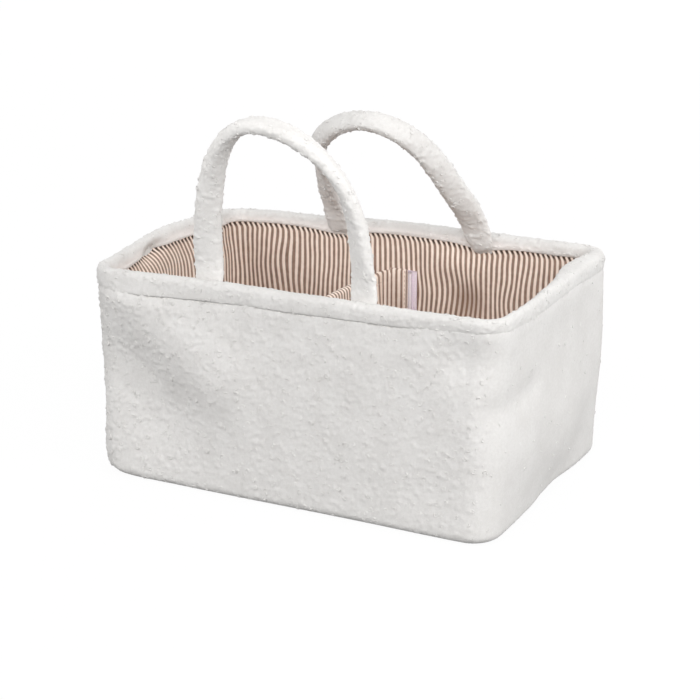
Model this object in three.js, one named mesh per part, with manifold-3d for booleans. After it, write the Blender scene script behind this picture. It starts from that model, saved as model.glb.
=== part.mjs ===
// A soft nursery caddy: an open box of napped cloth over foam, with a folded rim, two padded
// carrying handles and a lift-out divider that hook-and-loop tape holds between the long walls.
// Millimetres, +Z up, X along the long walls, origin at the centre of the base on the floor.
import * as THREE from "three";
import { mergeVertices } from "three/addons/utils/BufferGeometryUtils.js";
import Module from "manifold-3d";

const wasm = await Module();
wasm.setup();

// Body
const BODY_LENGTH = 380; // over the rim, along X
const BODY_DEPTH = 250; // over the rim, along Y
const BODY_HEIGHT = 184; // floor to the top of the rim
const CORNER_RADIUS = 24; // upright corners, on the outer cloth
const END_TAPER = 6; // how far each end wall leans in at the floor
const BASE_ROLL = 10; // radius of the turned-under bottom edge
const SHELL_CLOTH = 2.5; // napped outer cloth
const WALL_FOAM = 5; // foam sheet in each wall
const LINING_CLOTH = 1; // striped cotton lining
const BASE_BOARD = 4; // stiff board under the floor lining
const CLEARANCE = 0.3; // gap between neighbouring pieces

// Rim
const RIM_CLOTH = 3; // napped cloth folded over the top edge
const RIM_OUTER_DROP = 19; // depth of the band outside
const RIM_INNER_DROP = 15; // depth of the band inside
const RIM_ROUND = 6; // radius of the band's top edges

// Handles
const HANDLE_SPACING = 140; // between the two roots of one handle
const HANDLE_WIDTH = 24; // across the flat of the strap
const HANDLE_THICKNESS = 12;
const HANDLE_RISE = 133; // root fold to the middle of the crown
const HANDLE_FULLNESS = 2.2; // superellipse exponent of the arch
const HANDLE_TWIST = 90; // degrees the strap turns between root and crown
const SLEEVE_CLOTH = 2.5; // napped cloth round the handle's core
const ROOT_THICKNESS = 8.4; // flattened strap where it is sewn to the rim
const TONGUE_THICKNESS = 2.4; // strap end caught behind the lining
const TONGUE_LENGTH = 18; // below the rim's inner seam
const FRONT_HANDLE_X = -7; // middle of the front handle, from the middle of the box
const BACK_HANDLE_X = 0; // middle of the back handle
const FRONT_LEAN = 11.5; // degrees the front handle leans out of the box
const BACK_LEAN = 38.5; // degrees the back handle leans in over the box

// Divider
const DIVIDER_X = -24; // middle of the panel, from the middle of the box
const DIVIDER_THICKNESS = 8;
const DIVIDER_HEIGHT = 132;
const DIVIDER_CLOTH = 1.2;
const BEND_RADIUS = 8; // middle of the cloth neck that turns along the wall
const NECK_THICKNESS = 4;
const FLAP_LENGTH = 15; // fold line to the tip
const FLAP_THICKNESS = 4;
const EDGE_ROUND = 1.2; // soft edges of the divider and its flaps

// Hook-and-loop tape
const LOOP_TAPE_WIDTH = 20; // on the lining of each long wall
const LOOP_TAPE_THICKNESS = 1.6;
const LOOP_TAPE_PEEK = 9; // loop tape left showing beyond the flap
const HOOK_TAPE_THICKNESS = 1.2;
const HOOK_TAPE_MARGIN = 0.8; // flap left bare round the hook tape
const TAPE_FOOT = 38; // lower end of the tapes above the inside floor

// Facets
const LONG_STEPS = 4; // along a long wall
const END_STEPS = 3; // along an end wall
const CORNER_STEPS = 6; // round an upright corner
const ROLL_STEPS = 5; // round the bottom edge, the rim's edges and the root's fold
const ARCH_STEPS = 30; // along a handle
const STRAP_SIDES = 12; // round a handle
const STRAP_FULLNESS = 2.6; // superellipse exponent of the strap's section

// Insets are measured inwards from the face of the outer cloth.
const rimOverhang = RIM_CLOTH + CLEARANCE;
const foamInset = SHELL_CLOTH + CLEARANCE;
const foamFace = foamInset + WALL_FOAM;
const liningInset = foamFace + CLEARANCE;
const liningFace = liningInset + LINING_CLOTH;
const rimFace = liningInset + RIM_CLOTH;
const loopInset = liningFace + CLEARANCE;
const loopFace = loopInset + LOOP_TAPE_THICKNESS;
const hookInset = Math.max(rimFace, loopFace) + CLEARANCE;
const hookBack = hookInset + HOOK_TAPE_THICKNESS;
const flapInset = hookBack + CLEARANCE;
const rootRadius = ROOT_THICKNESS / 2;
const hingeInset = rimFace + CLEARANCE + rootRadius;

// Heights
const stackTop = BODY_HEIGHT - RIM_CLOTH - CLEARANCE;
const outerSeam = BODY_HEIGHT - RIM_OUTER_DROP;
const innerSeam = BODY_HEIGHT - RIM_INNER_DROP;
const boardBottom = SHELL_CLOTH + CLEARANCE;
const boardTop = boardBottom + BASE_BOARD;
const liningBottom = boardTop + CLEARANCE;
const floorTop = liningBottom + LINING_CLOTH;
const dividerBottom = floorTop + CLEARANCE;
const dividerTop = dividerBottom + DIVIDER_HEIGHT;
const tapeTop = Math.min(dividerTop - EDGE_ROUND, innerSeam - CLEARANCE);
const tapeBottom = floorTop + TAPE_FOOT;
const hingeHeight = BODY_HEIGHT + HANDLE_THICKNESS / 2 + 2 * CLEARANCE;

const FRONT = -1; // sign of Y at the front wall
const BACK = 1;
const LEFT = -1; // sign of X at the left end
const RIGHT = 1;

// Materials
const cloth = (color, roughness) => new THREE.MeshStandardMaterial({ color, roughness, metalness: 0 });
const napped = cloth(0xf0ede8, 0.95);
const ticking = cloth(0xc3a795, 0.9);
const foam = cloth(0xd9d9d4, 0.9);
const stiffBoard = cloth(0x6d6358, 0.8);
const loopPile = cloth(0xdcd0dd, 0.85);
const hookTape = cloth(0xe4dfe6, 0.6);

const caddy = new THREE.Group();

function addPiece(name, geometry, material, parent = caddy) {
  const mesh = new THREE.Mesh(geometry, material);
  mesh.name = name;
  parent.add(mesh);
}

// Booleans
function toSolid(geometry) {
  const bare = new THREE.BufferGeometry();
  bare.setAttribute("position", geometry.getAttribute("position"));
  bare.setIndex(geometry.getIndex());
  const merged = mergeVertices(bare, 1e-4);
  const vertProperties = new Float32Array(merged.getAttribute("position").array);
  const triVerts = new Uint32Array(merged.getIndex().array);
  return new wasm.Manifold(new wasm.Mesh({ numProp: 3, vertProperties, triVerts }));
}

function toGeometry(solid) {
  const mesh = solid.getMesh();
  const geometry = new THREE.BufferGeometry();
  geometry.setAttribute("position", new THREE.BufferAttribute(mesh.vertProperties, 3));
  geometry.setIndex(new THREE.BufferAttribute(mesh.triVerts, 1));
  geometry.computeVertexNormals();
  return geometry;
}

function cut(geometry, cutters) {
  const body = toSolid(geometry);
  return toGeometry(cutters.reduce((left, cutter) => left.subtract(toSolid(cutter)), body));
}

// Lofts
// Joins rings of equal length into a closed skin. An open row of rings gets a cap at each end, laid as
// a ladder from one half of the ring to the other, which suits convex rings.
function loft(rings, closed) {
  const sides = rings[0].length;
  const triangles = [];
  const spans = closed ? rings.length : rings.length - 1;
  for (let span = 0; span < spans; span++) {
    const here = span * sides;
    const next = ((span + 1) % rings.length) * sides;
    for (let side = 0; side < sides; side++) {
      const turn = (side + 1) % sides;
      triangles.push(here + side, next + side, next + turn);
      triangles.push(here + side, next + turn, here + turn);
    }
  }
  if (!closed) {
    triangles.push(...ladderCap(sides, 0, false));
    triangles.push(...ladderCap(sides, (rings.length - 1) * sides, true));
  }
  return facingOut(rings.flat(), triangles);
}

function ladderCap(sides, first, reversed) {
  const triangles = [];
  const add = (...corners) => triangles.push(...(reversed ? corners.reverse() : corners).map((i) => first + i));
  let low = 0;
  let high = sides - 1;
  while (high - low > 1) {
    add(low, low + 1, high);
    low++;
    if (high - low > 1) {
      add(low, high - 1, high);
      high--;
    }
  }
  return triangles;
}

// Turns the triangles round if they enclose a negative volume.
function facingOut(points, triangles) {
  let volume = 0;
  for (let i = 0; i < triangles.length; i += 3) {
    const [a, b, c] = [0, 1, 2].map((k) => points[triangles[i + k]]);
    volume += a.dot(b.clone().cross(c));
  }
  const geometry = new THREE.BufferGeometry().setFromPoints(points);
  geometry.setIndex(volume < 0 ? triangles.reverse() : triangles);
  geometry.computeVertexNormals();
  return geometry;
}

// The walls
const halfDepth = BODY_DEPTH / 2 - rimOverhang;
const halfLength = (z) => BODY_LENGTH / 2 - rimOverhang - END_TAPER * (1 - z / BODY_HEIGHT);

// A station is a place on the plan: (sx, sy) runs over the rectangle of corner centres, (nx, ny) points out.
function wallPoint({ sx, sy, nx, ny }, inset, z) {
  const reach = CORNER_RADIUS - inset;
  const x = sx * (halfLength(z) - CORNER_RADIUS) + nx * reach;
  const y = sy * (halfDepth - CORNER_RADIUS) + ny * reach;
  return new THREE.Vector3(x, y, z);
}

const ramp = (steps) => Array.from({ length: steps + 1 }, (_, i) => (2 * i) / steps - 1);
const longStations = (side) => ramp(LONG_STEPS).map((t) => ({ sx: -side * t, sy: side, nx: 0, ny: side }));
const endStations = (side) => ramp(END_STEPS).map((t) => ({ sx: side, sy: side * t, nx: side, ny: 0 }));

function cornerStations(sx, sy, from) {
  const stations = [];
  for (let i = 1; i < CORNER_STEPS; i++) {
    const angle = from + (i / CORNER_STEPS) * (Math.PI / 2);
    stations.push({ sx, sy, nx: Math.cos(angle), ny: Math.sin(angle) });
  }
  return stations;
}

const roundWall = [
  ...longStations(FRONT),
  ...cornerStations(RIGHT, FRONT, -Math.PI / 2),
  ...endStations(RIGHT),
  ...cornerStations(RIGHT, BACK, 0),
  ...longStations(BACK),
  ...cornerStations(LEFT, BACK, Math.PI / 2),
  ...endStations(LEFT),
  ...cornerStations(LEFT, FRONT, Math.PI),
];

// Sweeps a section of [inset, z] points along stations of the wall.
function sweepWall(section, stations, closed) {
  const rings = stations.map((station) => section.map(([inset, z]) => wallPoint(station, inset, z)));
  return loft(rings, closed);
}

const sheetSection = (outer, inner, bottom, top) => [
  [outer, top],
  [outer, bottom],
  [inner, bottom],
  [inner, top],
];

// A flat panel with the wall's own outline.
function floorPanel(inset, bottom, top) {
  const ring = (z) => roundWall.map((station) => wallPoint(station, inset, bottom).setZ(z));
  return loft([ring(bottom), ring(top)], false);
}

const arc = (cx, cz, radius, from, to) =>
  Array.from({ length: ROLL_STEPS + 1 }, (_, i) => {
    const angle = from + ((to - from) * i) / ROLL_STEPS;
    return [cx + radius * Math.cos(angle), cz + radius * Math.sin(angle)];
  });

// The outer cloth runs down the wall and turns under the bottom edge.
function outerWrap() {
  const section = [
    [0, stackTop],
    ...arc(BASE_ROLL, BASE_ROLL, BASE_ROLL, Math.PI, 1.5 * Math.PI),
    ...arc(BASE_ROLL, BASE_ROLL, BASE_ROLL - SHELL_CLOTH, 1.5 * Math.PI, Math.PI),
    [SHELL_CLOTH, stackTop],
  ];
  return sweepWall(section, roundWall, true);
}

// The rim is folded over the cloth and the foam, deeper outside than inside.
function rimBand() {
  const round = Math.min(RIM_ROUND, (rimFace + rimOverhang) / 2 - CLEARANCE);
  const shoulder = BODY_HEIGHT - round;
  const section = [
    [-rimOverhang, outerSeam],
    ...arc(round - rimOverhang, shoulder, round, Math.PI, Math.PI / 2),
    ...arc(rimFace - round, shoulder, round, Math.PI / 2, 0),
    [rimFace, innerSeam],
    [liningInset, innerSeam],
    [liningInset, stackTop + CLEARANCE],
    [-CLEARANCE, stackTop + CLEARANCE],
    [-CLEARANCE, outerSeam],
  ];
  return sweepWall(section, roundWall, true);
}

// A box against a long wall, between two insets.
function wallBox(side, x, width, outer, inner, bottom, top) {
  const box = new THREE.BoxGeometry(width, inner - outer, top - bottom);
  return box.translate(x, side * (halfDepth - (outer + inner) / 2), (bottom + top) / 2);
}

const handleMiddle = (side) => (side === FRONT ? FRONT_HANDLE_X : BACK_HANDLE_X);
const rootPlace = (side, end) => handleMiddle(side) + (end * HANDLE_SPACING) / 2;
const rootSlot = HANDLE_WIDTH + 2 * CLEARANCE;
const tongueInset = foamFace - TONGUE_THICKNESS;
const tongueTop = innerSeam - CLEARANCE;
const tongueStep = tongueTop - TONGUE_THICKNESS;
const tongueBottom = tongueTop - TONGUE_LENGTH;

// Each long foam sheet has a pocket for the tongue of each handle root.
function longFoam(side) {
  const sheet = sweepWall(sheetSection(foamInset, foamFace, BASE_ROLL, stackTop), longStations(side), false);
  const outer = tongueInset - CLEARANCE;
  const bottom = tongueBottom - CLEARANCE;
  const pockets = [LEFT, RIGHT].map((end) =>
    wallBox(side, rootPlace(side, end), rootSlot, outer, liningInset, bottom, innerSeam),
  );
  return cut(sheet, pockets);
}

const endFoam = (side) =>
  sweepWall(sheetSection(foamInset, foamFace, BASE_ROLL, stackTop), endStations(side), false);

// The lining is notched along its top edge where a tongue passes through the seam.
function wallLining() {
  const sheet = sweepWall(sheetSection(liningInset, liningFace, liningBottom, tongueTop), roundWall, true);
  const inner = liningFace + CLEARANCE;
  const bottom = tongueStep - CLEARANCE;
  const notches = [FRONT, BACK].flatMap((side) =>
    [LEFT, RIGHT].map((end) =>
      wallBox(side, rootPlace(side, end), rootSlot, foamFace, inner, bottom, innerSeam),
    ),
  );
  return cut(sheet, notches);
}

addPiece("outer_wrap", outerWrap(), napped);
addPiece("base_panel", floorPanel(BASE_ROLL + CLEARANCE, 0, SHELL_CLOTH), napped);
addPiece("rim_band", rimBand(), napped);
addPiece("wall_lining", wallLining(), ticking);
addPiece("floor_lining", floorPanel(liningFace + CLEARANCE, liningBottom, floorTop), ticking);
addPiece("front_wall_foam", longFoam(FRONT), foam);
addPiece("back_wall_foam", longFoam(BACK), foam);
addPiece("left_wall_foam", endFoam(LEFT), foam);
addPiece("right_wall_foam", endFoam(RIGHT), foam);
addPiece("base_board", floorPanel(BASE_ROLL, boardBottom, boardTop), stiffBoard);

// Handle roots
// The strap's sewn end: a rounded fold above the rim, a flat stem down the rim's inner face, and a thin
// tongue that turns through the seam and lies behind the lining.
function handleRoot(side, x) {
  const stemFace = hingeInset + rootRadius;
  const outline = [
    ...arc(hingeInset, hingeHeight, rootRadius, Math.PI, 0),
    [stemFace, innerSeam + ROOT_THICKNESS],
    [rimFace + TONGUE_THICKNESS, tongueStep],
    [foamFace, tongueStep],
    [foamFace, tongueBottom],
    [tongueInset, tongueBottom],
    [tongueInset, tongueTop],
    [hingeInset - rootRadius, tongueTop],
  ];
  const points = outline.map(([inset, z]) => new THREE.Vector2(side * (halfDepth - inset), z));
  const depth = { depth: HANDLE_WIDTH, bevelEnabled: false };
  const alongWall = new THREE.Matrix4().makeBasis(
    new THREE.Vector3(0, 1, 0),
    new THREE.Vector3(0, 0, 1),
    new THREE.Vector3(1, 0, 0),
  );
  const geometry = new THREE.ExtrudeGeometry(new THREE.Shape(points), depth);
  return geometry.applyMatrix4(alongWall).translate(x - HANDLE_WIDTH / 2, 0, 0);
}

// Handles
const archStart = rootRadius + CLEARANCE;
const swollen = (value, fullness) => Math.sign(value) * Math.abs(value) ** (2 / fullness);

class HandleArch extends THREE.Curve {
  getPoint(t, target = new THREE.Vector3()) {
    const angle = Math.PI * (1 - t);
    const across = swollen(Math.cos(angle), HANDLE_FULLNESS) * (HANDLE_SPACING / 2);
    const up = swollen(Math.sin(angle), HANDLE_FULLNESS) * (HANDLE_RISE - archStart);
    return target.set(across, 0, archStart + up);
  }
}

const handleArch = new HandleArch();
handleArch.arcLengthDivisions = 800;
const strapLine = handleArch.getSpacedPoints(ARCH_STEPS);

// The strap's section at one step of the arch, slimmed by a margin all round. It lies flat to the wall at
// the roots and turns until its edges point fore and aft at the crown.
function strapRing(step, margin) {
  const before = strapLine[Math.max(step - 1, 0)];
  const after = strapLine[Math.min(step + 1, ARCH_STEPS)];
  const along = after.clone().sub(before).normalize();
  if (step === 0) along.set(0, 0, 1);
  if (step === ARCH_STEPS) along.set(0, 0, -1);
  const sideways = new THREE.Vector3(0, 1, 0);
  const inwards = sideways.clone().cross(along);
  const turn = THREE.MathUtils.degToRad(HANDLE_TWIST) * Math.sin((Math.PI * step) / ARCH_STEPS) ** 2;
  const flat = inwards.multiplyScalar(Math.cos(turn)).addScaledVector(sideways, Math.sin(turn));
  const face = along.clone().cross(flat);
  const ring = [];
  for (let side = 0; side < STRAP_SIDES; side++) {
    const angle = (2 * Math.PI * side) / STRAP_SIDES;
    const wide = swollen(Math.cos(angle), STRAP_FULLNESS) * (HANDLE_WIDTH / 2 - margin);
    const thick = swollen(Math.sin(angle), STRAP_FULLNESS) * (HANDLE_THICKNESS / 2 - margin);
    ring.push(strapLine[step].clone().addScaledVector(flat, wide).addScaledVector(face, thick));
  }
  return ring;
}

// Rings run back along the bore, so the sleeve's skin closes on itself and the core's facets match the bore.
const steps = Array.from({ length: ARCH_STEPS + 1 }, (_, i) => i);
const stepsBack = [...steps].reverse();
const bore = SLEEVE_CLOTH;
const coreMargin = SLEEVE_CLOTH + CLEARANCE;

function handleSleeve() {
  const outside = steps.map((step) => strapRing(step, 0));
  const inside = stepsBack.map((step) => strapRing(step, bore));
  return loft([...outside, ...inside], true);
}

const handleCore = () => loft(stepsBack.slice(1, -1).map((step) => strapRing(step, coreMargin)), false);

function addHandle(name, side, lean) {
  const swing = new THREE.Group();
  swing.position.set(handleMiddle(side), side * (halfDepth - hingeInset), hingeHeight);
  swing.rotation.x = THREE.MathUtils.degToRad(lean);
  const turned = new THREE.Group();
  turned.rotation.z = side === BACK ? Math.PI : 0;
  caddy.add(swing.add(turned));
  addPiece(`${name}_handle_sleeve`, handleSleeve(), napped, turned);
  addPiece(`${name}_handle_core`, handleCore(), foam, turned);
  addPiece(`${name}_handle_left_root`, handleRoot(side, rootPlace(side, LEFT)), napped);
  addPiece(`${name}_handle_right_root`, handleRoot(side, rootPlace(side, RIGHT)), napped);
}

addHandle("front", FRONT, FRONT_LEAN);
addHandle("back", BACK, BACK_LEAN);

// Divider
const panelRight = DIVIDER_X + DIVIDER_THICKNESS / 2;
const panelLeft = DIVIDER_X - DIVIDER_THICKNESS / 2;
const flapMiddle = halfDepth - flapInset - FLAP_THICKNESS / 2;
const panelEnd = flapMiddle - BEND_RADIUS;
const neckHalf = NECK_THICKNESS / 2;
const foldX = panelRight + BEND_RADIUS - neckHalf;
const flapStart = foldX + neckHalf + CLEARANCE;
const flapTip = foldX + FLAP_LENGTH;

// Extrudes a plan shape upwards with its upper and lower edges softened.
function softPanel(shape, bottom, top) {
  const geometry = new THREE.ExtrudeGeometry(shape, {
    depth: top - bottom - 2 * EDGE_ROUND,
    bevelThickness: EDGE_ROUND,
    bevelSize: EDGE_ROUND,
    bevelOffset: -EDGE_ROUND,
    bevelSegments: 2,
    curveSegments: ROLL_STEPS,
  });
  return geometry.translate(0, 0, bottom + EDGE_ROUND);
}

// The panel seen from above, with a cloth neck at each end that turns to the right along the wall.
function dividerPlan() {
  const corner = (DIVIDER_THICKNESS - NECK_THICKNESS) / 2;
  const quarter = Math.PI / 2;
  const shape = new THREE.Shape();
  shape.moveTo(panelRight, -panelEnd);
  shape.lineTo(panelRight, panelEnd);
  shape.absarc(foldX, panelEnd, BEND_RADIUS - neckHalf, 2 * quarter, quarter, true);
  shape.absarc(foldX, flapMiddle, neckHalf, -quarter, quarter, false);
  shape.absarc(foldX, panelEnd, BEND_RADIUS + neckHalf, quarter, 2 * quarter, false);
  shape.absarc(panelLeft + corner, panelEnd - corner, corner, quarter, 2 * quarter, false);
  shape.absarc(panelLeft + corner, corner - panelEnd, corner, 2 * quarter, 3 * quarter, false);
  shape.absarc(foldX, -panelEnd, BEND_RADIUS + neckHalf, 2 * quarter, 3 * quarter, false);
  shape.absarc(foldX, -flapMiddle, neckHalf, -quarter, quarter, false);
  shape.absarc(foldX, -panelEnd, BEND_RADIUS - neckHalf, 3 * quarter, 2 * quarter, true);
  return shape;
}

// The foam sheet inside the panel, or the pocket that holds it.
function panelCore(margin, bottom, top) {
  const width = DIVIDER_THICKNESS - 2 * margin;
  const length = 2 * (panelEnd - NECK_THICKNESS - margin);
  const box = new THREE.BoxGeometry(width, length, top - bottom);
  return box.translate(DIVIDER_X, 0, (bottom + top) / 2);
}

// The cloth cover is open along its lower edge, where the foam slides in.
function dividerCover() {
  const pocket = panelCore(DIVIDER_CLOTH, dividerBottom - CLEARANCE, dividerTop - DIVIDER_CLOTH);
  return cut(softPanel(dividerPlan(), dividerBottom, dividerTop), [pocket]);
}

const dividerFoam = () =>
  panelCore(DIVIDER_CLOTH + CLEARANCE, dividerBottom, dividerTop - DIVIDER_CLOTH - CLEARANCE);

function flap(side) {
  const low = side * flapMiddle - FLAP_THICKNESS / 2;
  const high = low + FLAP_THICKNESS;
  const shape = new THREE.Shape();
  shape.moveTo(flapStart, low);
  shape.lineTo(flapTip, low);
  shape.lineTo(flapTip, high);
  shape.lineTo(flapStart, high);
  return softPanel(shape, dividerBottom, dividerTop);
}

function hookStrip(side) {
  const width = flapTip - flapStart - 2 * HOOK_TAPE_MARGIN;
  const bottom = tapeBottom + HOOK_TAPE_MARGIN;
  const top = tapeTop - HOOK_TAPE_MARGIN;
  return wallBox(side, (flapStart + flapTip) / 2, width, hookInset, hookBack, bottom, top);
}

function loopStrip(side) {
  const x = flapTip + LOOP_TAPE_PEEK - LOOP_TAPE_WIDTH / 2;
  return wallBox(side, x, LOOP_TAPE_WIDTH, loopInset, loopFace, tapeBottom, tapeTop);
}

addPiece("divider_cover", dividerCover(), ticking);
addPiece("divider_foam", dividerFoam(), foam);
addPiece("front_flap", flap(FRONT), ticking);
addPiece("front_hook_tape", hookStrip(FRONT), hookTape);
addPiece("front_loop_tape", loopStrip(FRONT), loopPile);
addPiece("back_flap", flap(BACK), ticking);
addPiece("back_hook_tape", hookStrip(BACK), hookTape);
addPiece("back_loop_tape", loopStrip(BACK), loopPile);

export default caddy;
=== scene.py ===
import itertools
import math

import bpy
import numpy as np
from mathutils import Matrix, Vector


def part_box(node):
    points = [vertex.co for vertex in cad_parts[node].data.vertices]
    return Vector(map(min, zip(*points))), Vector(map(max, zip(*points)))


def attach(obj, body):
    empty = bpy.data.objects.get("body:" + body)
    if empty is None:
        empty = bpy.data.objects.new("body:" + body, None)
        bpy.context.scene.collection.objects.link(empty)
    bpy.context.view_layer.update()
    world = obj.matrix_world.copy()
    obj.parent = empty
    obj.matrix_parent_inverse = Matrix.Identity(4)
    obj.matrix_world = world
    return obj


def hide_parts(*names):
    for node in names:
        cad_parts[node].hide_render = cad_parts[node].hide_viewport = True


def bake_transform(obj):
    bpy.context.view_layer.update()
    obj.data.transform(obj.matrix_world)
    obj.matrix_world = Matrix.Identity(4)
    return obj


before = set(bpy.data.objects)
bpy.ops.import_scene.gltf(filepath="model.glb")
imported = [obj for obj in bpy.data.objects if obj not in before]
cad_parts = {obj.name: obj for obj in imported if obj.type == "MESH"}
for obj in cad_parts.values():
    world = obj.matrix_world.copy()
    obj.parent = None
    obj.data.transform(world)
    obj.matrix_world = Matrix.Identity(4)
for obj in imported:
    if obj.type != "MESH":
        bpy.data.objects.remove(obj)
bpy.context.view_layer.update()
scene = bpy.context.scene
scene.view_settings.view_transform = "Standard"
mm = 0.001  # shapes are worked out in millimetres and written to meshes in metres
stripe = 5.0  # width of a brown and a cream stripe together, the unit of the cloth map


# shapes


def ramp(value, low, high):
    t = np.clip((np.asarray(value, float) - low) / (high - low), 0, 1)
    return t * t * (3 - 2 * t)


def hump(value, middle, width, power=2):
    return np.exp(-(((value - middle) / width) ** power))


# Nearness to a place, with a reach of its own along each axis.
def bell(points, place, reach):
    return np.exp(-(((points - place) / reach) ** 2).sum(-1))


def axes(points):
    return points[..., 0], points[..., 1], points[..., 2]


def softNoise(points, size, seed):
    spot = np.asarray(points, float) / size
    cell = np.floor(spot).astype(np.int64)
    part = spot - cell
    part = part * part * (3 - 2 * part)
    total = np.zeros(spot.shape[:-1])
    for corner in itertools.product((0, 1), repeat=3):
        at = cell + np.array(corner)
        mixed = (at * (374761393, 668265263, 1442695041)).sum(-1) + seed * 97531  # a hash of the cell's place
        mixed = (mixed ^ (mixed >> 13)) * 1274126177
        value = ((mixed ^ (mixed >> 16)) & 65535) / 32767.5 - 1
        total = total + value * np.prod(np.where(np.array(corner) == 1, part, 1 - part), axis=-1)
    return total


def arc(x, y, radius, angles):
    return [(x + radius * math.cos(a), y + radius * math.sin(a)) for a in angles]


def rounded(points, passes, closed=False):
    line = np.asarray(points, float)
    for _ in range(passes):  # corner cutting
        after = np.roll(line, -1, axis=0) if closed else line[1:]
        before = line if closed else line[:-1]
        cut = np.stack([before * 0.75 + after * 0.25, before * 0.25 + after * 0.75], 1).reshape(-1, line.shape[1])
        line = cut if closed else np.vstack([line[:1], cut, line[-1:]])
    return line


def runLength(points):
    return np.concatenate([[0], np.cumsum(np.linalg.norm(np.diff(points, axis=0), axis=1))])


def spaced(points, step):
    line = np.asarray(points, float)
    run = runLength(line)
    at = np.linspace(0, run[-1], max(2, int(round(run[-1] / step)) + 1))
    return np.stack([np.interp(at, run, axis) for axis in line.T], 1)


def unit(vectors):
    return vectors / np.linalg.norm(vectors, axis=1)[:, None]


# A smooth curve through given places (natural cubic).
def smoothCurve(places, values, at):
    x, y = np.asarray(places, float), np.asarray(values, float)
    step, count = np.diff(x), len(x)
    grid, goal = np.eye(count), np.zeros(count)
    for k in range(1, count - 1):
        grid[k, k - 1 : k + 2] = step[k - 1], 2 * (step[k - 1] + step[k]), step[k]
        goal[k] = 6 * ((y[k + 1] - y[k]) / step[k] - (y[k] - y[k - 1]) / step[k - 1])
    bend = np.linalg.solve(grid, goal)
    k = np.clip(np.searchsorted(x, at, side="right") - 1, 0, count - 2)
    a, b = (x[k + 1] - at) / step[k], (at - x[k]) / step[k]
    return a * y[k] + b * y[k + 1] + ((a**3 - a) * bend[k] + (b**3 - b) * bend[k + 1]) * step[k] ** 2 / 6


def linked(name, data, material=None):
    made = bpy.data.objects.new(name, data)
    scene.collection.objects.link(made)
    if material is not None:
        data.materials.clear()
        data.materials.append(material)
    return made


# The cloth map's places round a closed section.
def mapRound(section):
    return np.append(runLength(section), 0) / stripe


# Rings of equal length become a closed skin. The rings' order may join up (closedAlong) or end in caps.
def ringMesh(name, rings, along=None, around=None, closedAlong=True, marks=None, stray=None):
    rows, sides, _ = rings.shape
    spans = rows if closedAlong else rows - 1
    i, j = np.meshgrid(np.arange(spans), np.arange(sides), indexing="ij")
    corners = [(i, j), (i + 1, j), (i + 1, j + 1), (i, j + 1)]
    quads = np.stack([a % rows * sides + b % sides for a, b in corners], -1).reshape(-1, 4)
    along = np.arange(spans + 1) if along is None else along
    around = np.arange(sides + 1) if around is None else around
    stray = np.zeros((rows, sides)) if stray is None else stray
    uv = [np.stack([along[a] + stray[a % rows, b % sides], around[b]], -1) for a, b in corners]
    uv = np.stack(uv, 2).reshape(-1, 4, 2)
    spots = rings.reshape(-1, 3) * mm
    a, b, c, d = (spots[quads[:, k]] for k in range(4))
    volume = (a * np.cross(b, c)).sum() + (a * np.cross(c, d)).sum()
    caps = [] if closedAlong else [list(range(sides))[::-1], [(rows - 1) * sides + k for k in range(sides)]]
    if volume < 0:
        quads, uv = quads[:, ::-1], uv[:, ::-1]
        caps = [cap[::-1] for cap in caps]
    mesh = bpy.data.meshes.new(name)
    mesh.from_pydata(spots.tolist(), [], quads.tolist() + caps, shade_flat=False)
    layer = mesh.uv_layers.new(name="cloth")
    flat = np.concatenate([uv.reshape(-1, 2)] + [np.tile([[along[0], around[0]]], (sides, 1))] * len(caps))
    layer.data.foreach_set("uv", flat.astype(np.float32).ravel())
    for label, values in (marks or {}).items():
        mark = mesh.attributes.new(label, "FLOAT", "POINT")
        mark.data.foreach_set("value", np.ascontiguousarray(np.broadcast_to(values, (rows, sides)), np.float32).ravel())
    return mesh


# nodes


def addNode(tree, kind, inputs=None, **settings):
    made = tree.nodes.new(kind)
    for key, value in settings.items():
        setattr(made, key, value)
    for key, value in (inputs or {}).items():
        if isinstance(value, bpy.types.NodeSocket):
            tree.links.new(value, made.inputs[key])
        else:
            made.inputs[key].default_value = value
    return made


# A new node's first output.
def flow(tree, kind, inputs=None, **settings):
    return addNode(tree, kind, inputs, **settings).outputs[0]


def maths(tree, operation, first, second=0.0, third=0.0):
    return flow(tree, "ShaderNodeMath", {0: first, 1: second, 2: third}, operation=operation)


def scaled(tree, vector, factor):
    return flow(tree, "ShaderNodeVectorMath", {0: vector, "Scale": factor}, operation="SCALE")


def noiseOf(tree, vector, scale, detail=2.0, roughness=0.5):
    inputs = {"Vector": vector, "Scale": scale, "Detail": detail, "Roughness": roughness}
    return flow(tree, "ShaderNodeTexNoise", inputs)


def mixColour(tree, factor, first, second):
    return addNode(tree, "ShaderNodeMix", {0: factor, 6: first, 7: second}, data_type="RGBA").outputs[2]


def ranged(tree, value, low, high, toLow=0.0, toHigh=1.0, shape="SMOOTHSTEP"):
    inputs = {0: value, 1: low, 2: high, 3: toLow, 4: toHigh}
    return flow(tree, "ShaderNodeMapRange", inputs, interpolation_type=shape)


def markOf(tree, label):
    return addNode(tree, "ShaderNodeAttribute", attribute_name=label).outputs["Fac"]


def clearTree(owner):
    owner.use_nodes = True
    owner.node_tree.nodes.clear()
    return owner.node_tree


# camera, light and floor

photoCamera = dict(
    azimuth=26.56, elevation=18.76, distance=1802.68, aim=(0, 0, 90), slideRight=-2.69, slideUp=9.25,
    focalPixels=2107.48, imageWidth=700, sensor=36.0,
    farthest=50,  # metres
)


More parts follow.
